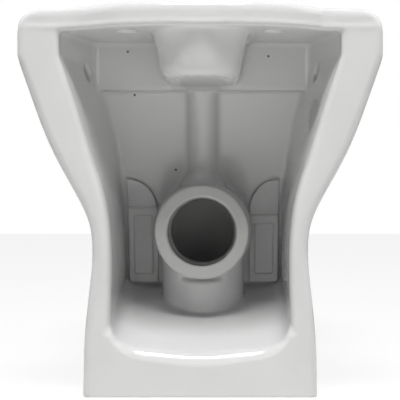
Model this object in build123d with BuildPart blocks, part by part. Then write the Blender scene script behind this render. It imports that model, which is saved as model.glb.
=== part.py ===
"""Floor-standing close-coupled toilet pan with its seat and lid, with the back of the pan open.

Frame: millimetres, +Z up, +Y towards the wall, origin on the floor under the centre of the pan.
Depth is counted forwards from the flat rear face of the pan, so a depth grows towards -Y.
Plan outlines that repeat at several heights are given as levels: each row starts with its height.
"""

import math
import os

from build123d import *

os.makedirs("parts", exist_ok=True)

# Overall sizes of the pan
PAN_DEPTH = 634.0
SHELF_BULGE = 40.0
RIM_HEIGHT = 385.0
RIM_SECTION = 36.0
SHELF_RISE = 15.0
SHELF_CROWN = 5.0
DECK_THICKNESS = 25.0
EAR_HALF_WIDTH = 187.5
LUTE_HEIGHT = RIM_HEIGHT - RIM_SECTION
SHELF_HEIGHT = RIM_HEIGHT + SHELF_RISE
DECK_UNDERSIDE = SHELF_HEIGHT - DECK_THICKNESS
REAR_Y = (PAN_DEPTH - SHELF_BULGE) / 2

# Ceramic walls
WALL = 11.0
REAR_WALL = 14.0
INNER_WALL = 9.0
REAR_CORNER = 8.0
CLOSED_BOTTOM = 112.0
CLOSED_TOP = 192.0
CLOSED_DEPTH = 100.0

# Skirt, spread evenly from the floor to the lute: half width at the rear face, at the neck and at the bowl,
# depth of the nose
NECK_DEPTH = 200.0
BOWL_SHARE = 0.63
SKIRT_ROWS = [
    (120.5, 114.0, 104.0, 520.0),
    (119.3, 112.0, 102.0, 512.0),
    (117.7, 109.5, 100.0, 505.0),
    (113.9, 107.0, 99.0, 500.0),
    (110.6, 105.0, 99.5, 500.0),
    (112.9, 106.3, 104.6, 508.0),
    (128.3, 114.0, 117.5, 526.0),
    (147.6, 124.6, 133.4, 549.0),
    (163.0, 135.5, 150.0, 576.0),
    (175.6, 146.5, 164.5, 606.0),
    (EAR_HALF_WIDTH, 157.0, 178.0, PAN_DEPTH),
]

# Rear cavity, spread evenly under and over the bend of its front wall: half width at the face, behind the
# rounded mouth and at the front end, depth of that end
MOUTH_ROUND = 12.0
CAVITY_BOTTOM = 10.0
BEND_HEIGHT = 235.0
LOW_END = 200.0
HIGH_END = 118.0
CAVITY_LOW_ROWS = [
    (102.5, 94.5, 90.0, LOW_END),
    (101.4, 93.4, 90.0, LOW_END),
    (100.0, 92.0, 90.0, 199.0),
    (99.4, 91.5, 90.0, 191.0),
    (104.0, 95.3, 91.0, 173.0),
    (116.5, 107.5, 96.0, 152.0),
]
CAVITY_HIGH_ROWS = [
    CAVITY_LOW_ROWS[-1],
    (126.5, 119.0, 101.0, 140.0),
    (137.0, 131.0, 109.0, 129.0),
    (148.5, 144.5, 117.0, HIGH_END),
]

# Sill and ramp levels: depth, height on the middle line, height at the corners
RAMP_HALF_WIDTH = 92.0
RAMP_CORNER_RISE = 14.0
RAMP_LEVELS = [
    (-1.0, 31.0, 47.0),
    (0.0, 32.0, 48.0),
    (4.0, 39.0, 54.0),
    (9.0, 43.5, 57.0),
    (16.0, 46.0, 59.0),
    (LOW_END + 2, 104.0, 106.0),
]

# Trap and outlet: the passage runs from the spigot forwards, down under the water seal and up into the sump
OUTLET_HEIGHT = 167.0
SPIGOT_RADIUS = 51.0
SPIGOT_BORE = 37.5
SPIGOT_END = 75.0
SPIGOT_ROOT = 118.0
SPIGOT_CHAMFER = 1.5
SPIGOT_STEP = 1.5
CONNECTOR_ROOM = 4.0
TRAP_BORE = 36.0
TRAP_WALL = 8.0
BULB_RADIUS = 56.0
BULB_DEPTH = 150.0
COLUMN_RADIUS = 46.0
COLUMN_DEPTH = 156.0
TRAP_TURN_DEPTH = 186.0
TRAP_LOW_DEPTH = 255.0
TRAP_LOW_HEIGHT = 48.0
SUMP_DEPTH = 335.0
SUMP_HEIGHT = 110.0
TRAP_RADII = [55.0, 50.0, 45.0]

# Bowl and rim: depth of the widest place, of the rear and of the front, half width. The bowl's rows are
# spread evenly from the flange down to the sump.
RIM_OPENING = (400.0, 250.0, 594.0, 126.0)
BOWL_WALL = 9.0
FLANGE_THICKNESS = 8.0
FLANGE_UNDERCUT = 2.0
BOWL_ROWS = [
    (400.0, 234.0, 606.0, 144.0),
    (398.0, 243.0, 560.0, 131.0),
    (389.0, 253.0, 514.0, 108.0),
    (374.0, 268.0, 458.0, 82.0),
    (353.0, 287.0, 406.0, 56.0),
    (SUMP_DEPTH, SUMP_DEPTH - TRAP_BORE, SUMP_DEPTH + TRAP_BORE, TRAP_BORE),
]
WASH_HOLE_RADIUS = 3.0
WASH_HOLE_COUNT = 26
WASH_HOLE_OUT = 11.5
RIM_ROUND = 10.0
RIM_PLATE = 12.0
RIM_APRON = 8.0

# Shelf that carries the cistern
SHELF_FRONT = 165.0
SHELF_SIDE_ROUND = 20.0
SHELF_REAR_ROUND = 10.0
SHELF_SECTIONS = 8
LIP_HALF_WIDTH = 150.0
LIP_SWELL = 1.1
LIP_CURVE = [(118.0, -8.0), (82.0, -29.5), (45.0, -37.6), (0.0, LIP_SWELL - SHELF_BULGE)]
INLET_DEPTH = 18.0
INLET_RADIUS = 31.0
TANK_BOLT_SPACING = 150.0
TANK_BOLT_DEPTH = 9.0
TANK_BOLT_RADIUS = 8.5

# Water way from the inlet to the rim
CHAMBER_HEIGHT = 48.0
CHAMBER_WALL = 8.0
CHAMBER_DEPTH = 15.0
CHAMBER_TOP_HALF = 50.0
CHAMBER_WAIST_HALF = 42.0
CHAMBER_WAIST_DROP = 34.0
CHAMBER_FOOT_HALF = 28.0
FEED_HALF_WIDTH = 121.0
FEED_HEIGHT = 52.0
FEED_DEPTH = 105.0
FEED_WINDOW_HALF = 34.0
FEED_WINDOW_RISE = 2.0
FEED_WINDOW_DROP = 4.0
RIB_RADIUS = 17.0
RIB_BORE = 9.0
RIB_FOOT_RADIUS = 27.0
RIB_FOOT_LENGTH = 16.0
RIB_SINK = 2.0

# Drain holes of the hollow side walls, webs beside the trap
DRAIN_RADIUS = 8.5
DRAIN_DROP = 36.0
DRAIN_DEPTH = 84.0
WEB_INNER = 53.0
WEB_OUTER = 87.0
WEB_BOTTOM = 106.0
WEB_TOP_OUTER = 225.0
WEB_TOP_INNER = 188.0
WEB_THICKNESS = 6.0
WEB_FRAME = 6.0
WEB_RECESS = 2.5
WEB_GROOVES = {"left": 193.0, "right": 184.0}

# Seat fixing
HINGE_SPACING = 155.0
HINGE_DEPTH = 199.0
HINGE_AXIS_RISE = 28.0
HINGE_HOLE = 8.0
HINGE_BOSS = 15.0
BUSH_INNER = 3.6
BUSH_FLANGE_RADIUS = 12.0
BUSH_FLANGE = 1.5
BOLT_RADIUS = 3.0
BOLT_REACH = 3.0
NUT_HEIGHT = 7.0
NUT_GAP = 1.0
BASE_RADIUS = 14.0
BASE_HEIGHT = 5.0
BASE_CHAMFER = 1.0
POST_RADIUS = 6.0
BARREL_RADIUS = 11.0
BARREL_HALF = 15.0
PIN_RADIUS = 4.0
PIN_OVERRUN = 1.0
LUG_GAP = 0.6
LUG_WIDTH = 11.0
LUG_RADIUS = 10.0
FIT = 0.08
SEATING = 0.3

# Seat and lid
COVER_INSET = 1.5
COVER_REAR = 217.0
COVER_REAR_CORNER = 28.0
LUG_ROOT = 6.0
SEAT_THICKNESS = 18.0
SEAT_OPENING = (395.0, 272.0, 566.0, 106.0)
SEAT_ROUND = 7.0
SEAT_BUFFER_HEIGHT = 4.0
SEAT_BUFFER_RADIUS = 9.0
SEAT_BUFFERS = [(148.0, 330.0), (112.0, 520.0)]
LID_GAP = 3.0
LID_THICKNESS = 11.0
LID_SKIN = 5.0
LID_EDGE = 9.0
LID_ROUND = 8.0
LID_BUFFER_RADIUS = 7.0
LID_BUFFERS = [(138.0, 345.0), (98.0, 512.0)]

# Floor fixing
SCREW_DEPTH = 300.0
SCREW_HEIGHT = 24.0
SCREW_RADIUS = 3.0
SCREW_LENGTH = 20.0
SCREW_HEAD_RADIUS = 6.0
SCREW_HEAD = 3.0
SCREW_CLEARANCE = 1.0
RECESS_RADIUS = 9.0
RECESS_FROM_FACE = 6.0
CAP_THICKNESS = 2.5
BRACKET_WIDTH = 30.0
BRACKET_THICKNESS = 4.0
BRACKET_HEIGHT = 40.0
BRACKET_INNER = 52.0
FLOOR_HOLE_RADIUS = 4.5
FLOOR_HOLE_X = 68.0


def spaced(rows, first, last):
    """Rows of sizes, each with its height in front, spread evenly between two heights."""
    step = (last - first) / (len(rows) - 1)
    return [(first + step * place, *row) for place, row in enumerate(rows)]


# Heights and depths that follow from the sizes above
FLANGE_BOTTOM = LUTE_HEIGHT - FLANGE_THICKNESS
SKIRT_LEVELS = spaced(SKIRT_ROWS, 0.0, LUTE_HEIGHT)
CAVITY_LOW = spaced(CAVITY_LOW_ROWS, CAVITY_BOTTOM, BEND_HEIGHT)
CAVITY_HIGH = spaced(CAVITY_HIGH_ROWS, BEND_HEIGHT, LUTE_HEIGHT)
BOWL_LEVELS = spaced(BOWL_ROWS, FLANGE_BOTTOM, SUMP_HEIGHT)
CHAMBER_BOTTOM = DECK_UNDERSIDE - CHAMBER_HEIGHT
FEED_BOTTOM = DECK_UNDERSIDE - FEED_HEIGHT
DRAIN_HEIGHT = DECK_UNDERSIDE - DRAIN_DROP
HINGE_AXIS_HEIGHT = RIM_HEIGHT + HINGE_AXIS_RISE
BULKHEAD_FRONT = HIGH_END + INNER_WALL
NUT_BOTTOM = LUTE_HEIGHT + NUT_GAP
BUSH_BOTTOM = NUT_BOTTOM + NUT_HEIGHT
BASE_BOTTOM = RIM_HEIGHT + BUSH_FLANGE
BASE_TOP = BASE_BOTTOM + BASE_HEIGHT
BOLT_TOP = BASE_TOP + BOLT_REACH
SEAT_BOTTOM = RIM_HEIGHT + SEAT_BUFFER_HEIGHT
SEAT_TOP = SEAT_BOTTOM + SEAT_THICKNESS
LID_BOTTOM = SEAT_TOP + LID_GAP
LID_TOP = LID_BOTTOM + LID_THICKNESS
SEAT_LUG_X = HINGE_SPACING / 2 - BARREL_HALF - LUG_GAP - LUG_WIDTH
LID_LUG_X = HINGE_SPACING / 2 + BARREL_HALF + LUG_GAP
WIDE = 2 * EAR_HALF_WIDTH
SIDES = {"left": 1, "right": -1}


def y_at(depth):
    """Y of a point that lies this far in front of the rear face."""
    return REAR_Y - depth


BEHIND = y_at(-SHELF_BULGE - 20)
AHEAD = y_at(PAN_DEPTH + 20)
HINGE_PLACES = [(side * HINGE_SPACING / 2, y_at(HINGE_DEPTH)) for side in SIDES.values()]


def mirrored(points):
    """The same points on the other side of the middle plane, in reverse order."""
    return [(-x, y) for x, y in reversed(points)]


def both_sides(places):
    """Places given as x and depth for one side, as x and y on both sides."""
    return [(side * x, y_at(depth)) for x, depth in places for side in SIDES.values()]


def upright(x, y, height):
    """Level plane at a place, for what stands up from it."""
    return Plane((x, y, height))


def forwards(depth, height):
    """Plane on the middle line whose normal points to the front, with its own y upwards."""
    return Plane(origin=(0, y_at(depth), height), x_dir=(1, 0, 0), z_dir=(0, -1, 0))


def outwards(side, x, depth, height):
    """Plane beside the middle line whose normal points away from it."""
    return Plane(origin=(side * x, y_at(depth), height), x_dir=(0, 1, 0), z_dir=(side, 0, 0))


def box_between(low, high):
    """Solid box between two corners given in any order."""
    size = [abs(b - a) for a, b in zip(low, high)]
    centre = [(a + b) / 2 for a, b in zip(low, high)]
    return Pos(*centre) * Box(*size, mode=Mode.PRIVATE)


def rod(plane, radius, length, bore=0.0):
    """Solid cylinder or ring that starts on a plane and grows along its normal."""
    with BuildPart() as solid:
        with BuildSketch(plane):
            Circle(radius)
            if bore:
                Circle(bore, mode=Mode.SUBTRACT)
        extrude(amount=length)
    return solid.part


def prism(outline, bottom, top):
    """Upright solid of one plan outline between two heights."""
    with BuildPart() as solid:
        with BuildSketch(Plane.XY.offset(bottom)):
            add(outline)
        extrude(amount=top - bottom)
    return solid.part


def skirt_half(height, rear, neck, bowl_half, nose, inset=0.0, rear_depth=0.0):
    """Right half of the skirt's plan outline at one height, inset for the hollow inside it."""
    side = [
        (rear - inset, y_at(rear_depth + REAR_CORNER)),
        (neck - inset, y_at(NECK_DEPTH)),
        (bowl_half - inset, y_at(BOWL_SHARE * nose)),
        (0, y_at(nose - inset)),
    ]
    face = (rear - inset - REAR_CORNER, y_at(rear_depth))
    with BuildSketch(Plane.XY.offset(height)) as section:
        with BuildLine():
            Line((0, y_at(rear_depth)), face)
            RadiusArc(face, side[0], REAR_CORNER)
            Spline(side, tangents=[(-0.12, -1), (-1, 0)])
            Line(side[-1], (0, y_at(rear_depth)))
        make_face()
    return section.sketch


def top_outline(inset=0.0, rear_depth=0.0):
    """The skirt's whole plan outline at its top, drawn on the floor plane."""
    half = skirt_half(0, *SKIRT_LEVELS[-1][1:], inset=inset, rear_depth=rear_depth)
    with BuildSketch() as whole:
        add(half)
        mirror(about=Plane.YZ)
    return whole.sketch


def skirt_loft(inset=0.0, rear_depth=0.0):
    """Right half of the skirt's solid, inset for the hollow inside it."""
    with BuildPart() as half:
        for level in SKIRT_LEVELS:
            add(skirt_half(*level, inset=inset, rear_depth=rear_depth))
        loft()
    return half.part


def cavity_section(height, face, inside, end, depth, grow=0.0):
    """Plan outline of the rear cavity at one height, with its rounded mouth."""
    right = [
        (face + grow, BEHIND),
        (face + grow, y_at(0)),
        (inside + grow, y_at(MOUTH_ROUND)),
        (end + grow, y_at(depth + grow)),
    ]
    left = mirrored(right)
    with BuildSketch(Plane.XY.offset(height)) as section:
        with BuildLine():
            Line(right[0], right[1])
            Spline(right[1], right[2], tangents=[(-1, 0), (-0.15, -1)])
            Polyline(right[2], right[3], left[0], left[1])
            Spline(left[1], left[2], tangents=[(-0.15, 1), (-1, 0)])
            Polyline(left[2], left[3], right[0])
        make_face()
    return section.sketch


def ramp_section(depth, middle, corner, drop):
    """Upright outline of the sill or ramp at one depth: its top dips towards the middle."""
    half = RAMP_HALF_WIDTH + 4 * WALL
    top = [
        (RAMP_HALF_WIDTH, corner + RAMP_CORNER_RISE - drop),
        (RAMP_HALF_WIDTH - 8, corner + 1 - drop),
        (0.5 * RAMP_HALF_WIDTH, middle + 0.3 * (corner - middle) - drop),
        (0, middle - drop),
    ]
    top += mirrored(top)[1:]
    shoulder = top[0][1] + 6
    with BuildSketch(Plane.XZ.offset(-y_at(depth))) as section:
        with BuildLine():
            Spline(top)
            Polyline(top[-1], (-half, shoulder), (-half, -1), (half, -1), (half, shoulder), top[0])
        make_face()
    return section.sketch


def ramp_block(drop=0.0):
    """The solid under the top of the sill and ramp, lowered by drop."""
    with BuildPart() as block:
        for level in RAMP_LEVELS[:-1]:
            add(ramp_section(*level, drop))
        loft()
        for level in RAMP_LEVELS[-2:]:
            add(ramp_section(*level, drop))
        loft()
    return block.part


def cavity(grow=0.0, drop=0.0):
    """The space that is open to the rear, with its walls moved outwards by grow and its floor down by drop."""
    with BuildPart() as space:
        for level in CAVITY_LOW:
            add(cavity_section(*level, grow=grow))
        loft()
        add(ramp_block(drop), mode=Mode.SUBTRACT)
        for level in CAVITY_HIGH:
            add(cavity_section(*level, grow=grow))
        loft()
    return space.part


def egg_section(widest, rear, front, half, grow=0.0, height=0.0):
    """Plan outline of the bowl: a short half ellipse to the rear and a long one to the front."""
    with BuildSketch(Plane.XY.offset(height)) as section:
        with BuildLine():
            EllipticalCenterArc((0, y_at(widest)), half + grow, widest - rear + grow, 0, arc_size=180)
            EllipticalCenterArc((0, y_at(widest)), half + grow, front - widest + grow, 180, arc_size=180)
        make_face()
    return section.sketch


def funnel(grow=0.0):
    """Solid of the bowl's inside, grown by the wall for its outside."""
    with BuildPart() as solid:
        for height, *outline in BOWL_LEVELS:
            add(egg_section(*outline, grow=grow, height=height))
        loft()
    return solid.part


def trap_tube(radius, start, end_height):
    """Solid that follows the trap's middle line at one radius, from a depth to a height under the sump."""
    corners = [
        (0, y_at(start), OUTLET_HEIGHT),
        (0, y_at(TRAP_TURN_DEPTH), OUTLET_HEIGHT),
        (0, y_at(TRAP_LOW_DEPTH), TRAP_LOW_HEIGHT),
        (0, y_at(SUMP_DEPTH), TRAP_LOW_HEIGHT),
        (0, y_at(SUMP_DEPTH), end_height),
    ]
    with BuildPart() as tube:
        with BuildLine():
            FilletPolyline(*corners, radius=TRAP_RADII)
        with BuildSketch(forwards(start, OUTLET_HEIGHT)):
            Circle(radius)
        sweep()
    return tube.part


def shelf_section(height):
    """Plan outline of the deck at one height, drawn in where its side and rear edges are rounded."""
    side_rise = max(0.0, height - (SHELF_HEIGHT - SHELF_CROWN + 1 - SHELF_SIDE_ROUND))
    side_in = SHELF_SIDE_ROUND - math.sqrt(max(10.0, SHELF_SIDE_ROUND**2 - side_rise**2))
    rear_rise = max(0.0, height - (SHELF_HEIGHT + 1 - SHELF_REAR_ROUND))
    rear_in = SHELF_REAR_ROUND - math.sqrt(max(4.0, SHELF_REAR_ROUND**2 - rear_rise**2))
    ear = EAR_HALF_WIDTH - side_in
    corner = REAR_CORNER - 0.4 * rear_in
    lip = [(LIP_HALF_WIDTH, y_at(rear_in))] + [(x, y_at(depth + rear_in)) for x, depth in LIP_CURVE]
    lip += mirrored(lip)[1:]
    neck, bowl_half, nose = (size - side_in for size in SKIRT_ROWS[-1][1:])
    side = [
        (ear, y_at(REAR_CORNER)),
        (neck, y_at(NECK_DEPTH)),
        (bowl_half, y_at(BOWL_SHARE * PAN_DEPTH)),
        (0, y_at(nose)),
    ]
    ear_face = (ear - REAR_CORNER, y_at(rear_in))
    with BuildSketch(Plane.XY.offset(height)) as section:
        with BuildLine():
            RadiusArc(ear_face, side[0], corner)
            Spline(side, tangents=[(-0.12, -1), (-1, 0)])
            Spline(mirrored(side), tangents=[(-1, 0), (-0.12, 1)])
            RadiusArc(mirrored(side)[-1], mirrored([ear_face])[0], corner)
            Line(mirrored([ear_face])[0], lip[-1])
            Spline(lip, tangents=[(-1, 0), (-1, 0)])
            Line(lip[0], ear_face)
        make_face()
    return section.sketch


def bucket(inset):
    """The inlet chamber's shape, half round to the rear and straight to the front, inset for its inside."""
    bottom = CHAMBER_BOTTOM + inset
    top = (CHAMBER_TOP_HALF - inset, DECK_UNDERSIDE)
    waist = (CHAMBER_WAIST_HALF - inset, DECK_UNDERSIDE - CHAMBER_WAIST_DROP)
    foot = (CHAMBER_FOOT_HALF - inset, bottom)
    with BuildSketch(Plane.XZ.offset(-y_at(CHAMBER_DEPTH))) as half:
        with BuildLine():
            Spline(top, waist, tangents=[(-0.35, -1), (-0.16, -1)])
            Spline(waist, foot, tangents=[(-0.16, -1), (-1, 0)])
            Polyline(foot, (0, bottom), (0, DECK_UNDERSIDE), top)
        make_face()
    with BuildPart() as shape:
        add(half.sketch)
        revolve(axis=Axis((0, y_at(CHAMBER_DEPTH), 0), (0, 0, 1)))
        add(half.sketch)
        add(mirror(half.sketch, about=Plane.YZ, mode=Mode.PRIVATE))
        extrude(amount=FEED_DEPTH - CHAMBER_DEPTH, dir=(0, -1, 0))
    return shape.part


def feed_window(rear, front):
    """Opening through which the water passes forwards, between two depths."""
    low = (-FEED_WINDOW_HALF, y_at(front), LUTE_HEIGHT + FEED_WINDOW_RISE)
    return box_between(low, (FEED_WINDOW_HALF, y_at(rear), DECK_UNDERSIDE - FEED_WINDOW_DROP))


def wash_hole_places():
    """Places of the wash holes, turned evenly round the rim's opening."""
    widest, rear, front, half = RIM_OPENING
    places = []
    for step in range(WASH_HOLE_COUNT):
        turn = 2 * math.pi * (step + 0.5) / WASH_HOLE_COUNT
        reach = (widest - rear if math.sin(turn) > 0 else front - widest) + WASH_HOLE_OUT
        places.append(((half + WASH_HOLE_OUT) * math.cos(turn), y_at(widest) + reach * math.sin(turn)))
    return places


def lug(side, x_start, bottom, top):
    """Hinge lug: a round eye on the axis with a web to the cover's rear edge."""
    with BuildPart() as block:
        add(rod(outwards(side, x_start, HINGE_DEPTH, HINGE_AXIS_HEIGHT), LUG_RADIUS, LUG_WIDTH))
        low = (side * x_start, y_at(COVER_REAR + LUG_ROOT), bottom)
        add(box_between(low, (side * (x_start + LUG_WIDTH), y_at(HINGE_DEPTH), top)))
    return block.part


def lug_bore(side, x_start):
    """The clearance bore through a lug."""
    plane = outwards(side, x_start - LUG_WIDTH, HINGE_DEPTH, HINGE_AXIS_HEIGHT)
    return rod(plane, PIN_RADIUS + FIT, 3 * LUG_WIDTH)


def cover_outline(inset):
    """Plan outline that the seat and the lid share, with rounded rear corners."""
    whole = top_outline(inset=inset)
    with BuildSketch() as outline:
        add(whole)
        with Locations((0, y_at(COVER_REAR + inset))):
            Rectangle(2 * WIDE, PAN_DEPTH, align=(Align.CENTER, Align.MIN), mode=Mode.SUBTRACT)
        fillet(outline.vertices().sort_by(Axis.Y)[-2:], COVER_REAR_CORNER - inset)
    return outline.sketch


# Skirt, its hollow and the space open to the rear, used to shape the pieces below
half_skirt = skirt_loft()
open_space = cavity()
half_hollow = skirt_loft(inset=WALL, rear_depth=REAR_WALL) - cavity(grow=INNER_WALL, drop=WALL)
half_hollow -= box_between((0, y_at(CLOSED_DEPTH), CLOSED_BOTTOM), (WIDE, BEHIND, CLOSED_TOP))


def skirt_half_width(depth, height):
    """Half width of the skirt's outside at one depth and height."""
    probe = box_between((0, y_at(depth + 0.5), height - 0.5), (WIDE, y_at(depth - 0.5), height + 0.5))
    return (half_skirt & probe).bounding_box().max.X


def drain_way(side):
    """The way of a drain hole through the cavity's side wall into the hollow beside it."""
    plane = outwards(side, RAMP_HALF_WIDTH, DRAIN_DEPTH, DRAIN_HEIGHT)
    return rod(plane, DRAIN_RADIUS, EAR_HALF_WIDTH - RAMP_HALF_WIDTH - 2 * WALL)


SCREW_FACE_X = skirt_half_width(SCREW_DEPTH, SCREW_HEIGHT)
RECESS_X = SCREW_FACE_X - RECESS_FROM_FACE
BRACKET_X = SCREW_FACE_X - WALL - SEATING

# Outside of the trap way: bulb behind the spigot, column under it, and the tube that dips under the seal
with BuildPart() as trap_outside:
    column_foot = RAMP_LEVELS[0][1]
    add(rod(upright(0, y_at(COLUMN_DEPTH), column_foot), COLUMN_RADIUS, OUTLET_HEIGHT - column_foot))
    add(ramp_block(), mode=Mode.SUBTRACT)
    with Locations((0, y_at(BULB_DEPTH), OUTLET_HEIGHT)):
        Sphere(BULB_RADIUS)
    add(rod(forwards(SPIGOT_ROOT, OUTLET_HEIGHT), SPIGOT_RADIUS - SPIGOT_STEP, BULB_DEPTH - SPIGOT_ROOT))
    add(trap_tube(TRAP_BORE + TRAP_WALL, BULB_DEPTH, SUMP_HEIGHT - BOWL_WALL))
    column_top = OUTLET_HEIGHT - SPIGOT_RADIUS - CONNECTOR_ROOM
    before_root = box_between((-WIDE, y_at(SPIGOT_ROOT), column_top), (WIDE, BEHIND, RIM_HEIGHT))
    add(before_root, mode=Mode.SUBTRACT)

# Trap bend
with BuildPart() as trap_bend:
    add(trap_outside.part)
    add(trap_tube(TRAP_BORE, SPIGOT_ROOT, SUMP_HEIGHT), mode=Mode.SUBTRACT)
    add(rod(forwards(SPIGOT_ROOT, OUTLET_HEIGHT), SPIGOT_BORE, TRAP_WALL), mode=Mode.SUBTRACT)

# Outlet spigot: the plain ring that the drain connector slips over
with BuildPart() as outlet_spigot:
    add(rod(forwards(SPIGOT_END, OUTLET_HEIGHT), SPIGOT_RADIUS, SPIGOT_ROOT - SPIGOT_END, bore=SPIGOT_BORE))
    chamfer(outlet_spigot.edges().group_by(Axis.Y)[-1], SPIGOT_CHAMFER)

# Pan shell: skirt, flanges beside the open back, sill, ramp and the wall behind the bowl
with BuildPart() as pan_shell:
    add(half_skirt)
    add(open_space, mode=Mode.SUBTRACT)
    add(half_hollow, mode=Mode.SUBTRACT)
    add(trap_outside.part, mode=Mode.SUBTRACT)
    add(drain_way(1), mode=Mode.SUBTRACT)
    screw_way = rod(outwards(1, BRACKET_INNER, SCREW_DEPTH, SCREW_HEIGHT), SCREW_RADIUS + SCREW_CLEARANCE, WIDE)
    add(screw_way, mode=Mode.SUBTRACT)
    add(rod(outwards(1, RECESS_X, SCREW_DEPTH, SCREW_HEIGHT), RECESS_RADIUS, WALL), mode=Mode.SUBTRACT)
    mirror(about=Plane.YZ)

# Bowl: the funnel with the flange that closes the hollow round it and the wash holes through that flange
with BuildPart() as bowl:
    add(funnel(BOWL_WALL))
    add(prism(top_outline(inset=WALL), FLANGE_BOTTOM, LUTE_HEIGHT))
    add(box_between((-WIDE, y_at(BULKHEAD_FRONT), FLANGE_BOTTOM), (WIDE, BEHIND, LUTE_HEIGHT)), mode=Mode.SUBTRACT)
    add(funnel(), mode=Mode.SUBTRACT)
    add(prism(egg_section(*RIM_OPENING, grow=FLANGE_UNDERCUT), FLANGE_BOTTOM, LUTE_HEIGHT), mode=Mode.SUBTRACT)
    with BuildSketch(Plane.XY.offset(FLANGE_BOTTOM - BOWL_WALL)):
        with Locations(*wash_hole_places()):
            Circle(WASH_HOLE_RADIUS)
    extrude(amount=FLANGE_THICKNESS + BOWL_WALL, mode=Mode.SUBTRACT)
    add(pan_shell.part, mode=Mode.SUBTRACT)
    add(trap_outside.part, mode=Mode.SUBTRACT)

# Rim: a box section with the wash channel under it and bosses round the seat fixing holes
with BuildPart() as rim_ring:
    add(prism(top_outline(), LUTE_HEIGHT, RIM_HEIGHT))
    add(box_between((-WIDE, y_at(SHELF_FRONT), LUTE_HEIGHT), (WIDE, BEHIND, RIM_HEIGHT)), mode=Mode.SUBTRACT)
    add(prism(egg_section(*RIM_OPENING), LUTE_HEIGHT, RIM_HEIGHT), mode=Mode.SUBTRACT)
    rim_top_edges = rim_ring.edges().group_by(Axis.Z)[-1]
    fillet(rim_top_edges.filter_by(GeomType.LINE, reverse=True), RIM_ROUND)
    rim_channel = prism(top_outline(inset=WALL), LUTE_HEIGHT, RIM_HEIGHT - RIM_PLATE)
    rim_channel -= prism(egg_section(*RIM_OPENING, grow=RIM_APRON), LUTE_HEIGHT, RIM_HEIGHT)
    for x, y in HINGE_PLACES:
        rim_channel -= rod(upright(x, y, LUTE_HEIGHT), HINGE_BOSS, RIM_HEIGHT)
    add(rim_channel, mode=Mode.SUBTRACT)
    with BuildSketch(Plane.XY.offset(LUTE_HEIGHT)):
        with Locations(*HINGE_PLACES):
            Circle(HINGE_HOLE)
    extrude(amount=RIM_HEIGHT, mode=Mode.SUBTRACT)

# Cistern shelf: the deck with its bulging lip, the ears beside the cavity and the wall in front of it
with BuildPart() as cistern_shelf:
    add(prism(top_outline(), LUTE_HEIGHT, DECK_UNDERSIDE))
    upper_hollow = prism(top_outline(inset=WALL, rear_depth=REAR_WALL), LUTE_HEIGHT, DECK_UNDERSIDE)
    upper_hollow -= prism(cavity_section(0, *CAVITY_HIGH[-1][1:], grow=INNER_WALL), LUTE_HEIGHT, DECK_UNDERSIDE)
    add(upper_hollow, mode=Mode.SUBTRACT)
    add(prism(cavity_section(0, *CAVITY_HIGH[-1][1:]), LUTE_HEIGHT, DECK_UNDERSIDE), mode=Mode.SUBTRACT)
    for step in range(SHELF_SECTIONS):
        rise = (SHELF_HEIGHT + 1 - DECK_UNDERSIDE) * math.sin(0.5 * math.pi * step / (SHELF_SECTIONS - 1))
        add(shelf_section(DECK_UNDERSIDE + rise))
    loft()
    with BuildSketch(Plane.XZ):
        with BuildLine():
            edge_height = SHELF_HEIGHT - SHELF_CROWN
            crown = ThreePointArc((-WIDE / 2, edge_height), (0, SHELF_HEIGHT), (WIDE / 2, edge_height))
            Polyline(crown @ 1, (WIDE / 2, LUTE_HEIGHT), (-WIDE / 2, LUTE_HEIGHT), crown @ 0)
        make_face()
    extrude(amount=PAN_DEPTH, both=True, mode=Mode.INTERSECT)
    add(box_between((-WIDE, AHEAD, LUTE_HEIGHT), (WIDE, y_at(SHELF_FRONT), SHELF_HEIGHT)), mode=Mode.SUBTRACT)
    with BuildSketch(Plane.XY.offset(DECK_UNDERSIDE)):
        with Locations(*both_sides([(TANK_BOLT_SPACING / 2, TANK_BOLT_DEPTH)])):
            Circle(TANK_BOLT_RADIUS)
        with Locations((0, y_at(INLET_DEPTH))):
            Circle(INLET_RADIUS)
    extrude(amount=SHELF_HEIGHT, mode=Mode.SUBTRACT)
    add(feed_window(HIGH_END, BULKHEAD_FRONT), mode=Mode.SUBTRACT)

# Inlet chamber: the bucket under the inlet hole, open to the feed plate
with BuildPart() as inlet_chamber:
    add(bucket(0))
    add(bucket(CHAMBER_WALL), mode=Mode.SUBTRACT)

# Feed plate: the raised band across the top of the cavity's front wall, with the window for the water
with BuildPart() as feed_plate:
    low = (-FEED_HALF_WIDTH, y_at(BULKHEAD_FRONT), FEED_BOTTOM)
    add(box_between(low, (FEED_HALF_WIDTH, y_at(FEED_DEPTH), DECK_UNDERSIDE)))
    add(feed_window(FEED_DEPTH, BULKHEAD_FRONT), mode=Mode.SUBTRACT)
    add(pan_shell.part, mode=Mode.SUBTRACT)
    add(cistern_shelf.part, mode=Mode.SUBTRACT)

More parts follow.
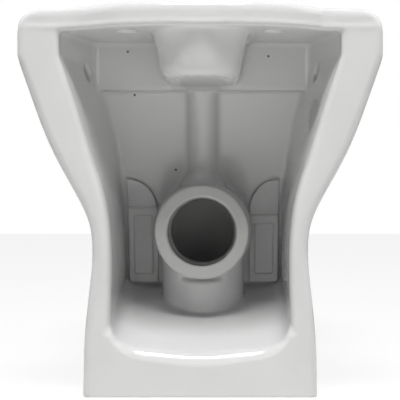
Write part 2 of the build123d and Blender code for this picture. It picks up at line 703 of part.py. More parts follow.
# Flush rib: half round and hollow down the middle of the sloping wall, flared where it meets the bulb
with BuildPart() as flush_rib:
    rib_end_height = OUTLET_HEIGHT + BULB_RADIUS - RIB_SINK
    rib_lean = (CAVITY_HIGH[0][4] - HIGH_END) / (LUTE_HEIGHT - BEND_HEIGHT)
    rib_top_depth = HIGH_END + RIB_SINK + rib_lean * (LUTE_HEIGHT - FEED_BOTTOM)
    rib_end_depth = HIGH_END + RIB_SINK + rib_lean * (LUTE_HEIGHT - rib_end_height)
    rib_top = Vector(0, y_at(rib_top_depth), FEED_BOTTOM)
    rib_end = Vector(0, y_at(rib_end_depth), rib_end_height)
    rib_length = (rib_end - rib_top).length
    rib_plane = Plane(origin=rib_top, x_dir=(1, 0, 0), z_dir=rib_end - rib_top)
    add(rod(rib_plane, RIB_RADIUS, rib_length))
    with BuildSketch(rib_plane.offset(rib_length - RIB_FOOT_LENGTH)):
        Circle(RIB_RADIUS)
    with BuildSketch(rib_plane.offset(rib_length)):
        Circle(RIB_FOOT_RADIUS)
    loft()
    add(rod(rib_plane, RIB_BORE, rib_length), mode=Mode.SUBTRACT)
    add(open_space, mode=Mode.INTERSECT)
    add(box_between((-WIDE, AHEAD, FEED_BOTTOM), (WIDE, BEHIND, SHELF_HEIGHT)), mode=Mode.SUBTRACT)
    add(bucket(0), mode=Mode.SUBTRACT)
    add(trap_outside.part, mode=Mode.SUBTRACT)


def web_prism(outline):
    """Solid of a web's outline, drawn upright, through the whole depth of the cavity's front wall."""
    with BuildPart() as solid:
        with BuildSketch(forwards(HIGH_END, 0)):
            add(outline)
        extrude(amount=LOW_END + INNER_WALL - HIGH_END)
    return solid.part


def support_web(side, groove):
    """Web on one side of the trap: a framed panel under a lobe, with a groove between them, on the front wall."""
    low_in = (side * WEB_INNER, WEB_BOTTOM)
    low_out = (side * WEB_OUTER, WEB_BOTTOM)
    high_out = (side * WEB_OUTER, WEB_TOP_OUTER)
    high_in = (side * WEB_INNER, WEB_TOP_INNER)
    middle = side * (WEB_INNER + WEB_OUTER) / 2
    with BuildSketch() as outline:
        with BuildLine():
            Polyline(high_in, low_in, low_out, high_out)
            TangentArc(high_out, high_in, tangent=(-side, 0))
        make_face()
    with BuildSketch() as sunk:
        with Locations((middle, (WEB_BOTTOM + groove) / 2)):
            framed = groove - WEB_BOTTOM - 3 * WEB_FRAME
            RectangleRounded(WEB_OUTER - WEB_INNER - 2 * WEB_FRAME, framed, WEB_FRAME / 2)
        with Locations((middle, groove)):
            Rectangle(2 * WEB_OUTER, WEB_RECESS)
    with BuildPart() as web:
        add(web_prism(outline.sketch))
        add(open_space, mode=Mode.INTERSECT)
        add(Pos(0, WEB_THICKNESS, 0) * open_space, mode=Mode.SUBTRACT)
        add(web_prism(sunk.sketch) & (Pos(0, WEB_THICKNESS - WEB_RECESS, 0) * open_space), mode=Mode.SUBTRACT)
        add(trap_outside.part, mode=Mode.SUBTRACT)
    return web.part


# Seat fixing in the rim: expanding bushes and the nuts that draw them up
with BuildPart() as hinge_bushes:
    for x, y in HINGE_PLACES:
        add(rod(upright(x, y, BUSH_BOTTOM), HINGE_HOLE - FIT, RIM_HEIGHT - BUSH_BOTTOM, bore=BUSH_INNER))
        add(rod(upright(x, y, RIM_HEIGHT), BUSH_FLANGE_RADIUS, BUSH_FLANGE, bore=BUSH_INNER))

with BuildPart() as hinge_nuts:
    for x, y in HINGE_PLACES:
        with BuildSketch(upright(x, y, NUT_BOTTOM)):
            RegularPolygon(HINGE_HOLE - NUT_GAP, 6)
            Circle(BOLT_RADIUS + FIT, mode=Mode.SUBTRACT)
        extrude(amount=NUT_HEIGHT)


def hinge_base(side):
    """Round base with the post that carries the barrel, bored for the bolt."""
    x, y = side * HINGE_SPACING / 2, y_at(HINGE_DEPTH)
    with BuildPart() as base:
        add(rod(upright(x, y, BASE_BOTTOM), BASE_RADIUS, BASE_HEIGHT))
        chamfer(base.edges().group_by(Axis.Z)[-1], BASE_CHAMFER)
        add(rod(upright(x, y, BASE_TOP), POST_RADIUS, HINGE_AXIS_HEIGHT - BASE_TOP))
        add(rod(upright(x, y, BASE_BOTTOM), BOLT_RADIUS + FIT, BOLT_TOP + FIT - BASE_BOTTOM), mode=Mode.SUBTRACT)
        barrel_room = outwards(side, HINGE_SPACING / 2 - BARREL_HALF, HINGE_DEPTH, HINGE_AXIS_HEIGHT)
        add(rod(barrel_room, BARREL_RADIUS, 2 * BARREL_HALF), mode=Mode.SUBTRACT)
    return base.part


def hinge_bolt(side):
    """Bolt from the nut up into the post."""
    return rod(upright(side * HINGE_SPACING / 2, y_at(HINGE_DEPTH), NUT_BOTTOM), BOLT_RADIUS, BOLT_TOP - NUT_BOTTOM)


def hinge_barrel(side):
    """Barrel on the post that holds the pin."""
    plane = outwards(side, HINGE_SPACING / 2 - BARREL_HALF, HINGE_DEPTH, HINGE_AXIS_HEIGHT)
    return rod(plane, BARREL_RADIUS, 2 * BARREL_HALF, bore=PIN_RADIUS)


def hinge_pin(side):
    """Pin through the barrel and through the lugs of the seat and the lid."""
    plane = outwards(side, SEAT_LUG_X - PIN_OVERRUN, HINGE_DEPTH, HINGE_AXIS_HEIGHT)
    return rod(plane, PIN_RADIUS, 2 * (BARREL_HALF + LUG_GAP + LUG_WIDTH + PIN_OVERRUN))


# Seat
with BuildPart() as seat_ring:
    add(prism(cover_outline(COVER_INSET), SEAT_BOTTOM, SEAT_TOP))
    add(prism(egg_section(*SEAT_OPENING), SEAT_BOTTOM, SEAT_TOP), mode=Mode.SUBTRACT)
    fillet(seat_ring.edges().group_by(Axis.Z)[-1], SEAT_ROUND)
    for side in SIDES.values():
        add(lug(side, SEAT_LUG_X, HINGE_AXIS_HEIGHT - LUG_RADIUS, SEAT_TOP))
        add(lug_bore(side, SEAT_LUG_X), mode=Mode.SUBTRACT)

with BuildPart() as seat_buffers:
    with BuildSketch(Plane.XY.offset(RIM_HEIGHT + SEATING)):
        with Locations(*both_sides(SEAT_BUFFERS)):
            Circle(SEAT_BUFFER_RADIUS)
    extrude(amount=SEAT_BUFFER_HEIGHT - SEATING)

# Lid
with BuildPart() as lid:
    add(prism(cover_outline(COVER_INSET), LID_BOTTOM, LID_TOP))
    fillet(lid.edges().group_by(Axis.Z)[-1], LID_ROUND)
    add(prism(cover_outline(COVER_INSET + LID_EDGE), LID_BOTTOM, LID_TOP - LID_SKIN), mode=Mode.SUBTRACT)
    for side in SIDES.values():
        add(lug(side, LID_LUG_X, LID_BOTTOM, LID_TOP - LID_SKIN))
        add(lug_bore(side, LID_LUG_X), mode=Mode.SUBTRACT)

with BuildPart() as lid_buffers:
    with BuildSketch(Plane.XY.offset(SEAT_TOP + SEATING)):
        with Locations(*both_sides(LID_BUFFERS)):
            Circle(LID_BUFFER_RADIUS)
    extrude(amount=LID_TOP - LID_SKIN - SEAT_TOP - SEATING)


def floor_bracket(side):
    """Angle that is screwed to the floor and holds the skirt from inside."""
    front, rear = y_at(SCREW_DEPTH + BRACKET_WIDTH / 2), y_at(SCREW_DEPTH - BRACKET_WIDTH / 2)
    upright_x = side * (BRACKET_X - BRACKET_THICKNESS)
    with BuildPart() as angle:
        add(box_between((side * BRACKET_INNER, front, 0), (side * BRACKET_X, rear, BRACKET_THICKNESS)))
        add(box_between((upright_x, front, 0), (side * BRACKET_X, rear, BRACKET_HEIGHT)))
        add(pan_shell.part, mode=Mode.SUBTRACT)
        add(rod(outwards(side, BRACKET_INNER, SCREW_DEPTH, SCREW_HEIGHT), SCREW_RADIUS, WIDE), mode=Mode.SUBTRACT)
        floor_hole = upright(side * FLOOR_HOLE_X, y_at(SCREW_DEPTH), 0)
        add(rod(floor_hole, FLOOR_HOLE_RADIUS, BRACKET_THICKNESS), mode=Mode.SUBTRACT)
    return angle.part


# Side screws and the caps that close their recesses
with BuildPart() as side_screws:
    for side in SIDES.values():
        add(rod(outwards(side, RECESS_X - SCREW_LENGTH, SCREW_DEPTH, SCREW_HEIGHT), SCREW_RADIUS, SCREW_LENGTH))
        add(rod(outwards(side, RECESS_X, SCREW_DEPTH, SCREW_HEIGHT), SCREW_HEAD_RADIUS, SCREW_HEAD))

with BuildPart() as screw_caps:
    for side in SIDES.values():
        cap_plane = outwards(side, RECESS_X + SCREW_HEAD, SCREW_DEPTH, SCREW_HEIGHT)
        add(rod(cap_plane, RECESS_RADIUS - FIT, CAP_THICKNESS))


pieces = {
    "pan_shell": pan_shell.part,
    "bowl": bowl.part,
    "rim_ring": rim_ring.part,
    "cistern_shelf": cistern_shelf.part,
    "inlet_chamber": inlet_chamber.part,
    "feed_plate": feed_plate.part,
    "flush_rib": flush_rib.part,
    "trap_bend": trap_bend.part,
    "outlet_spigot": outlet_spigot.part,
    "hinge_bushes": hinge_bushes.part,
    "hinge_nuts": hinge_nuts.part,
    "seat_ring": seat_ring.part,
    "seat_buffers": seat_buffers.part,
    "lid": lid.part,
    "lid_buffers": lid_buffers.part,
    "side_screws": side_screws.part,
    "screw_caps": screw_caps.part,
}
for name, side in SIDES.items():
    pieces["support_web_" + name] = support_web(side, WEB_GROOVES[name])
    pieces["hinge_base_" + name] = hinge_base(side)
    pieces["hinge_bolt_" + name] = hinge_bolt(side)
    pieces["hinge_barrel_" + name] = hinge_barrel(side)
    pieces["hinge_pin_" + name] = hinge_pin(side)
    pieces["floor_bracket_" + name] = floor_bracket(side)

for name, piece in pieces.items():
    piece.label = name
    export_step(piece, "parts/" + name + ".step")
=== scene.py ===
"""Floor-standing close-coupled toilet pan in glazed vitreous china, seen from its open back.

Metres, +Z up, +Y towards the wall, origin on the floor under the middle of the pan. The china is one
fired piece, so copies of its solids are fused into one soft glazed skin; the fittings stay separate.
"""

from __future__ import annotations

import logging
import math
from dataclasses import dataclass, field
from enum import Enum
from typing import Any, Optional

import bpy
from mathutils import Euler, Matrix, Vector

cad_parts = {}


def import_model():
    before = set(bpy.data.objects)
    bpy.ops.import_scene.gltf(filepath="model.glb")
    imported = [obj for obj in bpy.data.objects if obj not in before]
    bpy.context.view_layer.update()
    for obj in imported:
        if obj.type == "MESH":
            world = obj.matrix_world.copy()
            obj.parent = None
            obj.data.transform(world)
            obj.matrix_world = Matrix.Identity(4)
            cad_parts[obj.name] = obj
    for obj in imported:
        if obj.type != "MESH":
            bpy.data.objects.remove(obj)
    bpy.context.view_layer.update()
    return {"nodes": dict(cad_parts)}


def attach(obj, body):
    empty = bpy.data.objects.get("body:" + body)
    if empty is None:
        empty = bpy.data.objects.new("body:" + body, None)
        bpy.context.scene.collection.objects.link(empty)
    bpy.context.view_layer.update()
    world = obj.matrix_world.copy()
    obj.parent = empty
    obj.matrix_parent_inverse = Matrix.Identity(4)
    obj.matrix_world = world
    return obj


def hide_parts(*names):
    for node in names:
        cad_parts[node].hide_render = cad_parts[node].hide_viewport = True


LOG = logging.getLogger("toilet")

MM = 0.001
REAR_FACE_Y = 297.0 * MM

Colour = tuple[float, float, float, float]
Socket = bpy.types.NodeSocket
Tree = bpy.types.NodeTree
Nodes = dict[str, bpy.types.Object]


class Side(Enum):
    """The two sides of the pan, as someone who faces the wall names them."""

    LEFT = 1
    RIGHT = -1


def linear(hex_code: str) -> Colour:
    """Turns an sRGB hex value into the linear colour that Blender's sockets take.

    Args:
        hex_code: Six hex digits after a hash mark.

    Returns:
        Linear red, green, blue and an alpha of one.
    """
    parts = [int(hex_code[i:i + 2], 16) / 255 for i in (1, 3, 5)]
    red, green, blue = (p / 12.92 if p <= 0.04045 else ((p + 0.055) / 1.055) ** 2.4 for p in parts)
    return (red, green, blue, 1.0)


def add_node(
    tree: Tree,
    kind: str,
    settings: Optional[dict[Any, Any]] = None,
    links: Optional[dict[Any, Socket]] = None,
) -> bpy.types.Node:
    """Adds one node with its settings and its incoming links.

    Args:
        tree: Node tree that takes the node.
        kind: Blender's name of the node type.
        settings: Values by property name, or by input name or number.
        links: Output sockets by input name or number.

    Returns:
        The new node.
    """
    node = tree.nodes.new(kind)
    for key, value in (settings or {}).items():
        if isinstance(key, str) and hasattr(node, key):
            setattr(node, key, value)
        else:
            node.inputs[key].default_value = value
    for key, source in (links or {}).items():
        tree.links.new(source, node.inputs[key])
    return node


@dataclass(frozen=True)
class Finish:
    """A surface as its maker would name it, with the values that its shader starts from."""

    name: str
    colour: str
    roughness: float = 0.4
    metallic: float = 0.0
    ior: float = 1.5
    wave_mm: float = 20.0
    wave_height_mm: float = 0.05
    grain_mm: float = 0.8
    grain_height_mm: float = 0.01

    def position(self, tree: Tree) -> Socket:
        """The surface point in the shared frame, in metres."""
        return add_node(tree, "ShaderNodeTexCoord").outputs["Object"]

    def noise(self, tree: Tree, size_mm: float, detail: float = 2.0) -> Socket:
        """Noise whose lumps have a real size.

        Args:
            tree: Node tree that takes the nodes.
            size_mm: Distance between lumps.
            detail: Octaves of finer noise.

        Returns:
            The noise factor, from nought to one.
        """
        settings = {"Scale": 1000 / size_mm, "Detail": detail}
        return add_node(tree, "ShaderNodeTexNoise", settings, {"Vector": self.position(tree)}).outputs["Fac"]

    def relief(self, tree: Tree) -> Socket:
        """Normal that carries the long waves and the fine grain of the surface."""
        waves = add_node(
            tree,
            "ShaderNodeBump",
            {"Strength": 1.0, "Distance": self.wave_height_mm * MM},
            {"Height": self.noise(tree, self.wave_mm)},
        )
        grain = add_node(
            tree,
            "ShaderNodeBump",
            {"Strength": 1.0, "Distance": self.grain_height_mm * MM},
            {"Height": self.noise(tree, self.grain_mm), "Normal": waves.outputs["Normal"]},
        )
        return grain.outputs["Normal"]

    def start(self) -> tuple[bpy.types.Material, Tree, bpy.types.Node]:
        """Makes the material with its shader and output.

        Returns:
            The material, its node tree and its main shader.
        """
        material = bpy.data.materials.new(self.name)
        material.use_nodes = True
        tree = material.node_tree
        tree.nodes.clear()
        shader = add_node(
            tree,
            "ShaderNodeBsdfPrincipled",
            {
                "Base Color": linear(self.colour),
                "Roughness": self.roughness,
                "Metallic": self.metallic,
                "IOR": self.ior,
            },
        )
        add_node(tree, "ShaderNodeOutputMaterial", links={"Surface": shader.outputs["BSDF"]})
        tree.links.new(self.relief(tree), shader.inputs["Normal"])
        return material, tree, shader

    def build(self) -> bpy.types.Material:
        """The finished material."""
        material, tree, shader = self.start()
        self.vary(tree, shader)
        return material

    def vary(self, tree: Tree, shader: bpy.types.Node) -> None:
        """Adds the slight change of tone and gloss that handling and making leave.

        Args:
            tree: Node tree of the material.
            shader: Its main shader.
        """
        base = linear(self.colour)
        darker = tuple(0.94 * c for c in base[:3]) + (1.0,)
        tone = add_node(
            tree,
            "ShaderNodeMix",
            {"data_type": "RGBA", 6: base, 7: darker},
            {0: self.noise(tree, 2.5 * self.wave_mm)},
        )
        tree.links.new(tone.outputs[2], shader.inputs["Base Color"])
        gloss = add_node(
            tree,
            "ShaderNodeMapRange",
            {"To Min": 0.85 * self.roughness, "To Max": min(1.0, 1.2 * self.roughness)},
            {"Value": self.noise(tree, self.wave_mm)},
        )
        tree.links.new(gloss.outputs["Result"], shader.inputs["Roughness"])


@dataclass(frozen=True)
class Patch:
    """A place on the china where the glaze is thin, thick or missing, or a painted highlight, as a leaning ellipsoid
    round it.
    """

    centre_mm: tuple[float, float, float]
    reach_mm: tuple[float, float, float]
    colour: str = "#B4B4AF"
    roughness: float = 0.75
    lean_degrees: float = 0.0
    wobble: float = 0.35
    lump_mm: float = 9.0

    def mask(self, tree: Tree, noise: Socket) -> Socket:
        """One inside the patch and nought outside it, with a wandering edge.

        Args:
            tree: Node tree of the material.
            noise: Noise that moves the edge.

        Returns:
            The mask.
        """
        inside = add_node(
            tree,
            "ShaderNodeMapping",
            {
                "vector_type": "TEXTURE",
                "Location": Vector(self.centre_mm) * MM,
                "Rotation": (0.0, math.radians(self.lean_degrees), 0.0),
                "Scale": Vector(self.reach_mm) * MM,
            },
            {"Vector": add_node(tree, "ShaderNodeTexCoord").outputs["Object"]},
        )
        length = add_node(tree, "ShaderNodeVectorMath", {"operation": "LENGTH"}, {0: inside.outputs["Vector"]})
        total = add_node(
            tree,
            "ShaderNodeMath",
            {"operation": "MULTIPLY_ADD", 1: self.wobble},
            {0: noise, 2: length.outputs["Value"]},
        )
        edge = add_node(
            tree,
            "ShaderNodeMapRange",
            {"From Min": 1.0, "From Max": 1.0 + 0.2 * self.wobble, "To Min": 1.0, "To Max": 0.0},
            {"Value": total.outputs[0]},
        )
        return edge.outputs["Result"]


@dataclass(frozen=True)
class GlazedChina(Finish):
    """Slip-cast vitreous china under a sprayed and fired tin-white glaze.

    The glaze pools into slow waves that bend reflections a little, and thins to the grey body at bare spots.
    """

    pooled_colour: str = "#D0D0D0"
    pooling_mm: float = 60.0
    patches: tuple[Patch, ...] = ()

    def vary(self, tree: Tree, shader: bpy.types.Node) -> None:
        """Lays the patches over the glaze.

        Args:
            tree: Node tree of the material.
            shader: Its main shader.
        """
        colour = add_node(
            tree,
            "ShaderNodeMix",
            {"data_type": "RGBA", 6: linear(self.colour), 7: linear(self.pooled_colour)},
            {0: self.noise(tree, self.pooling_mm)},
        ).outputs[2]
        roughness = add_node(
            tree,
            "ShaderNodeMapRange",
            {"To Min": 0.8 * self.roughness, "To Max": 1.3 * self.roughness},
            {"Value": self.noise(tree, self.wave_mm)},
        ).outputs["Result"]
        for patch in self.patches:
            mask = patch.mask(tree, self.noise(tree, patch.lump_mm, detail=4.0))
            colour = add_node(
                tree,
                "ShaderNodeMix",
                {"data_type": "RGBA", 7: linear(patch.colour)},
                {0: mask, 6: colour},
            ).outputs[2]
            roughness = add_node(
                tree,
                "ShaderNodeMix",
                {"data_type": "FLOAT", 3: patch.roughness},
                {0: mask, 2: roughness},
            ).outputs[0]
        tree.links.new(colour, shader.inputs["Base Color"])
        tree.links.new(roughness, shader.inputs["Roughness"])


def select_only(piece: bpy.types.Object) -> None:
    """Makes one object the only selected and the active one."""
    bpy.ops.object.select_all(action="DESELECT")
    piece.select_set(True)
    bpy.context.view_layer.objects.active = piece


def apply_modifier(piece: bpy.types.Object, kind: str, **settings: Any) -> None:
    """Adds a modifier with its settings and applies it.

    Args:
        piece: Object that takes it.
        kind: Blender's name of the modifier type.
        **settings: Values by property name.
    """
    select_only(piece)
    modifier = piece.modifiers.new(kind.lower(), kind)
    for key, value in settings.items():
        setattr(modifier, key, value)
    bpy.ops.object.modifier_apply(modifier=modifier.name)


def dress(piece: bpy.types.Object, material: bpy.types.Material) -> None:
    """Gives the whole piece one material."""
    piece.data.materials.clear()
    piece.data.materials.append(material)


@dataclass
class FusedSkin:
    """Copies of cast parts joined into one piece whose corners are rounded as glaze rounds them."""

    name: str
    parts: tuple[str, ...]
    slot: str
    finish: Finish
    voxel_mm: float
    smoothing_rounds: int
    swell_mm: float
    most_triangles: int = 190000

    def copy_parts(self, nodes: Nodes) -> bpy.types.Object:
        """Copies the cast parts' meshes and joins the copies.

        Args:
            nodes: The frame's CAD nodes by name.

        Returns:
            One object with all the copies, merged by distance.
        """
        copies = []
        for name in self.parts:
            copy = bpy.data.objects.new("copy_" + name, nodes[name].data.copy())
            bpy.context.scene.collection.objects.link(copy)
            copies.append(copy)
        select_only(copies[0])
        for copy in copies:
            copy.select_set(True)
        bpy.ops.object.join()
        joined = bpy.context.view_layer.objects.active
        joined.name = self.name
        joined.data.name = self.name
        bpy.ops.object.mode_set(mode="EDIT")
        bpy.ops.mesh.select_all(action="SELECT")
        bpy.ops.mesh.remove_doubles(threshold=0.01 * MM)
        bpy.ops.object.mode_set(mode="OBJECT")
        return joined

    def fuse(self, joined: bpy.types.Object) -> None:
        """Turns the joined copies into one soft skin of the same size, and thins its mesh.

        Args:
            joined: Object with the joined copies.
        """
        corners = [Vector(corner) for corner in joined.bound_box]
        low = [min(corner[axis] for corner in corners) for axis in range(3)]
        high = [max(corner[axis] for corner in corners) for axis in range(3)]
        apply_modifier(joined, "REMESH", mode="VOXEL", voxel_size=self.voxel_mm * MM, use_smooth_shade=True)
        apply_modifier(joined, "SMOOTH", factor=0.5, iterations=self.smoothing_rounds)
        apply_modifier(joined, "DISPLACE", strength=self.swell_mm * MM, mid_level=0.0)
        triangles = sum(len(face.vertices) - 2 for face in joined.data.polygons)
        LOG.info("%s: %d triangles before thinning", self.name, triangles)
        if triangles > self.most_triangles:
            apply_modifier(joined, "DECIMATE", ratio=self.most_triangles / triangles)
        for vertex in joined.data.vertices:
            vertex.co = [min(max(vertex.co[axis], low[axis]), high[axis]) for axis in range(3)]
        select_only(joined)
        bpy.ops.object.shade_smooth()

    def build(self, nodes: Nodes) -> bpy.types.Object:
        """Builds the skin and puts it in the place of the cast parts.

        Args:
            nodes: The frame's CAD nodes by name.

        Returns:
            The dressed skin.
        """
        skin = self.copy_parts(nodes)
        self.fuse(skin)
        dress(skin, self.finish.build())
        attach(skin, "pan")
        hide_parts(*self.parts)
        return skin


@dataclass
class ChinaPan:
    """The fired china: the pan, the two framed webs beside the trap and the bare ring of the outlet."""

    pan_parts: tuple[str, ...] = (
        "pan_shell",
        "bowl",
        "rim_ring",
        "cistern_shelf",
        "inlet_chamber",
        "feed_plate",
        "flush_rib",
        "trap_bend",
    )
    glaze: str = "#D6D6D6"
    bare_body: str = "#BDBDBC"
    # Lighter colour of the two strips at the panel's edges: a painted highlight, not a glaze of another colour.
    painted_edge_highlight: str = "#E4E4E4"
    mottle: str = "#B4B4B2"
    speck_colour: str = "#5A5A58"
    specks_mm: tuple[tuple[float, float, float], ...] = (
        (82.0, 192.0, 365.0),
        (-73.0, 192.0, 360.0),
        (76.0, 171.0, 319.0),
        (31.0, 145.0, 236.0),
    )

    def pan_patches(self) -> tuple[Patch, ...]:
        """Marks on the china itself: the bare underside, a mottled wall and specks, and two lighter, glossier strips
        at the panel's edges that are painted highlights.
        """
        patches = [
            Patch((-1.0, 245.0, 325.0), (33.0, 90.0, 5.0), self.bare_body),
            Patch((-121.0, 250.0, 292.0), (18.0, 40.0, 32.0), self.mottle, 0.35, wobble=0.9, lump_mm=7.0),
        ]
        # Painted highlights: lighter, glossier strips along the panel's side edges, where light would catch the
        # rounded edges.
        for side in Side:
            edge = (side.value * 115.0, 192.0, 349.0)
            patches.append(Patch(edge, (2.0, 8.0, 24.0), self.painted_edge_highlight, 0.1, wobble=0.2))
        for place in self.specks_mm:
            patches.append(Patch(place, (1.5, 9.0, 1.5), self.speck_colour, 0.6, wobble=0.2, lump_mm=2.0))
        return tuple(patches)

    def skins(self) -> list[FusedSkin]:
        """The fused pieces of china."""
        pan_glaze = GlazedChina(
            "glazed vitreous china",
            self.glaze,
            roughness=0.10,
            wave_mm=28.0,
            wave_height_mm=0.25,
            grain_mm=3.0,
            patches=self.pan_patches(),
        )
        web_glaze = GlazedChina(
            "run glaze on vitreous china",
            self.glaze,
            roughness=0.16,
            wave_mm=9.0,
            wave_height_mm=0.35,
            grain_mm=2.5,
            grain_height_mm=0.03,
        )
        ring_body = GlazedChina(
            "unglazed vitreous china with a glazed bore",
            self.bare_body,
            roughness=0.7,
            wave_mm=14.0,
            wave_height_mm=0.08,
            grain_mm=0.9,
            grain_height_mm=0.03,
            pooled_colour="#B8B8B6",
            pooling_mm=25.0,
            patches=(Patch((0.0, 190.0, 167.0), (39.5, 60.0, 39.5), self.glaze, 0.12, wobble=0.02),),
        )
        webs = [
            FusedSkin("framed_web_" + side, ("support_web_" + side,), "glazed_china", web_glaze, 0.9, 3, 0.1)
            for side in ("left", "right")
        ]
        return [
            FusedSkin("china_pan", self.pan_parts, "glazed_china", pan_glaze, 2.2, 4, 0.35),
            FusedSkin("outlet_ring", ("outlet_spigot",), "bare_china", ring_body, 0.9, 4, 0.1),
            *webs,
        ]

    def build(self, nodes: Nodes) -> list[bpy.types.Object]:
        """Builds and dresses all the china."""
        return [skin.build(nodes) for skin in self.skins()]


@dataclass
class Fittings:
    """Made pieces that keep their CAD shape and take a finish by group."""

    groups: dict[Finish, tuple[str, ...]]

    def build(self, nodes: Nodes) -> None:
        """Dresses each group's nodes with its finish.

        Args:
            nodes: The frame's CAD nodes by name.
        """
        for finish, names in self.groups.items():
            material = finish.build()
            for name in names:
                dress(nodes[name], material)


def on_both_sides(*names: str) -> tuple[str, ...]:
    """Names of the left and the right node of each kind."""
    return tuple(name + "_" + side.name.lower() for name in names for side in Side)


def seat_and_lid() -> Fittings:
    """Seat, lid and the pads that they rest on."""
    plastic = Finish("moulded urea seat plastic, polished", "#E0E0DE", 0.14, wave_mm=45.0, wave_height_mm=0.06)
    pads = Finish("moulded buffer rubber", "#D2D2CC", 0.55, wave_mm=6.0)
    return Fittings({plastic: ("seat_ring", "lid"), pads: ("seat_buffers", "lid_buffers")})


def seat_fixing() -> Fittings:
    """Hinge posts, barrels and pins in chrome, with their bolts, nuts and bushes."""
    chrome = Finish("polished chrome plate", "#C8CACC", 0.08, 1.0, wave_mm=12.0, wave_height_mm=0.01)
    zinc = Finish("bright zinc plate on turned steel", "#A9ACB0", 0.32, 1.0, grain_mm=0.5, wave_mm=8.0)
    rubber = Finish("moulded black bush rubber", "#242424", 0.6, wave_mm=6.0)
    return Fittings(
        {
            chrome: on_both_sides("hinge_base", "hinge_barrel", "hinge_pin"),
            zinc: on_both_sides("hinge_bolt") + ("hinge_nuts",),
            rubber: ("hinge_bushes",),
        }
    )


def floor_fixing() -> Fittings:
    """Angles inside the skirt with their screws and caps."""
    galvanised = Finish("hot-dip galvanised sheet steel", "#9EA3A6", 0.42, 1.0, wave_mm=14.0, grain_mm=2.0)
    screw = Finish("bright zinc plate on rolled steel", "#B4B2A8", 0.3, 1.0, grain_mm=0.6, wave_mm=5.0)
    cap = Finish("moulded gloss cap plastic", "#DCDCDA", 0.2, wave_mm=10.0)
    return Fittings(
        {galvanised: on_both_sides("floor_bracket"), screw: ("side_screws",), cap: ("screw_caps",)}
    )


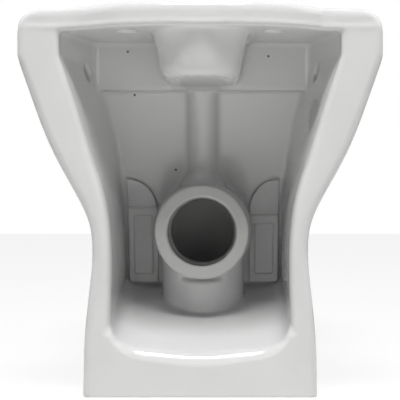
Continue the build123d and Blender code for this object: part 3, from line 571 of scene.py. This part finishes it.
@dataclass
class Studio:
    """Floor, lamps, world and the camera at the photograph's angle."""

    camera_distance: float = 1.3
    camera_height: float = 0.2015
    camera_aside: float = -0.03
    pixels_per_metre: float = 980.0
    frame_pixels: float = 400.0
    sensor_mm: float = 36.0
    key_power: float = 78.0
    key_elevation: float = 66.0
    key_distance: float = 2.6
    key_size: float = 0.7
    left_power: float = 8.5
    right_power: float = 12.0
    side_size: float = 1.4
    side_place: tuple[float, float, float] = (1.9, 0.35, 1.6)
    ambient: float = 0.03
    floor_white: float = 0.9

    def camera(self) -> None:
        """Sets the camera behind the pan, level and looking at the middle of its height."""
        data = bpy.data.cameras.new("camera")
        data.sensor_width = self.sensor_mm
        focal_pixels = self.pixels_per_metre * self.camera_distance
        data.lens = focal_pixels * self.sensor_mm / self.frame_pixels
        data.shift_x = self.camera_aside * self.pixels_per_metre / self.frame_pixels
        data.clip_start = 0.05
        data.clip_end = 60.0
        camera = bpy.data.objects.new("camera", data)
        camera.location = (self.camera_aside, REAR_FACE_Y + self.camera_distance, self.camera_height)
        camera.rotation_euler = Euler((math.pi / 2, 0.0, math.pi))
        bpy.context.scene.collection.objects.link(camera)
        bpy.context.scene.camera = camera

    def lamp(self, name: str, place: Vector, target: Vector, size: float, power: float) -> None:
        """Adds a soft square lamp that faces a point.

        Args:
            name: Name of the lamp.
            place: Where it stands.
            target: What it faces.
            size: Length of its side.
            power: Watts.
        """
        data = bpy.data.lights.new(name, "AREA")
        data.shape = "SQUARE"
        data.size = size
        data.energy = power
        lamp = bpy.data.objects.new(name, data)
        lamp.location = place
        lamp.rotation_euler = (target - place).to_track_quat("-Z", "Y").to_euler()
        bpy.context.scene.collection.objects.link(lamp)

    def lamps(self) -> None:
        """Sets the high lamp behind the camera and the two soft ones beside the pan."""
        lift = math.radians(self.key_elevation)
        target = Vector((0.0, 0.2, 0.2))
        key = target + self.key_distance * Vector((0.0, math.cos(lift), math.sin(lift)))
        self.lamp("key", key, target, self.key_size, self.key_power)
        aside, back, height = self.side_place
        for side, power in ((Side.LEFT, self.left_power), (Side.RIGHT, self.right_power)):
            place = Vector((side.value * aside, back, height))
            self.lamp("side_" + side.name.lower(), place, target, self.side_size, power)

    def white_to_camera(self, tree: Tree, strength: float) -> Socket:
        """One for rays from the camera and through glossy or clear surfaces, else a plain strength.

        Args:
            tree: Node tree that takes the nodes.
            strength: What other rays get.

        Returns:
            The strength.
        """
        path = add_node(tree, "ShaderNodeLightPath")
        seen = path.outputs["Is Camera Ray"]
        for other in ("Is Glossy Ray", "Is Transmission Ray"):
            seen = add_node(
                tree, "ShaderNodeMath", {"operation": "MAXIMUM"}, {0: seen, 1: path.outputs[other]}
            ).outputs[0]
        mixed = add_node(
            tree, "ShaderNodeMix", {"data_type": "FLOAT", 2: strength, 3: 1.0}, {0: seen}
        )
        return mixed.outputs[0]

    def world(self) -> None:
        """Sets a white surround that lights the pan only a little."""
        world = bpy.data.worlds.new("surround")
        bpy.context.scene.world = world
        world.use_nodes = True
        tree = world.node_tree
        tree.nodes.clear()
        glow = add_node(
            tree,
            "ShaderNodeBackground",
            {"Color": (1.0, 1.0, 1.0, 1.0)},
            {"Strength": self.white_to_camera(tree, self.ambient)},
        )
        add_node(tree, "ShaderNodeOutputWorld", links={"Surface": glow.outputs["Background"]})

    def floor(self) -> None:
        """Lays a pale floor that shows white to the camera and keeps the pan's shadow."""
        bpy.ops.object.select_all(action="DESELECT")
        bpy.ops.mesh.primitive_plane_add(size=12.0, location=(0.0, 0.0, 0.0))
        floor = bpy.context.view_layer.objects.active
        floor.name = "floor"
        material = bpy.data.materials.new("painted studio floor")
        material.use_nodes = True
        tree = material.node_tree
        tree.nodes.clear()
        paint = add_node(tree, "ShaderNodeBsdfDiffuse", {"Color": linear("#F2F2F0")})
        path = add_node(tree, "ShaderNodeLightPath")
        glow = add_node(
            tree, "ShaderNodeEmission", {"Color": (1.0, 1.0, 1.0, 1.0), "Strength": 1.0}
        )
        lifted = add_node(
            tree, "ShaderNodeMath", {"operation": "MULTIPLY", 1: self.floor_white}, {0: path.outputs["Is Camera Ray"]}
        )
        mixed = add_node(
            tree,
            "ShaderNodeMixShader",
            links={0: lifted.outputs[0], 1: paint.outputs["BSDF"], 2: glow.outputs["Emission"]},
        )
        add_node(tree, "ShaderNodeOutputMaterial", links={"Surface": mixed.outputs["Shader"]})
        floor.data.materials.append(material)

    def build(self) -> None:
        """Builds the whole studio."""
        self.camera()
        self.lamps()
        self.world()
        self.floor()
        bpy.context.scene.view_settings.view_transform = "Standard"


def main() -> None:
    """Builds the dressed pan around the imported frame."""
    logging.basicConfig(level=logging.INFO, format="%(name)s: %(message)s")
    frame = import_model()
    nodes = frame["nodes"]
    Studio().build()
    for skin in ChinaPan().build(nodes):
        LOG.info("%s: %d faces", skin.name, len(skin.data.polygons))
    for fittings in (seat_and_lid(), seat_fixing(), floor_fixing()):
        fittings.build(nodes)


if __name__ == "__main__":
    main()
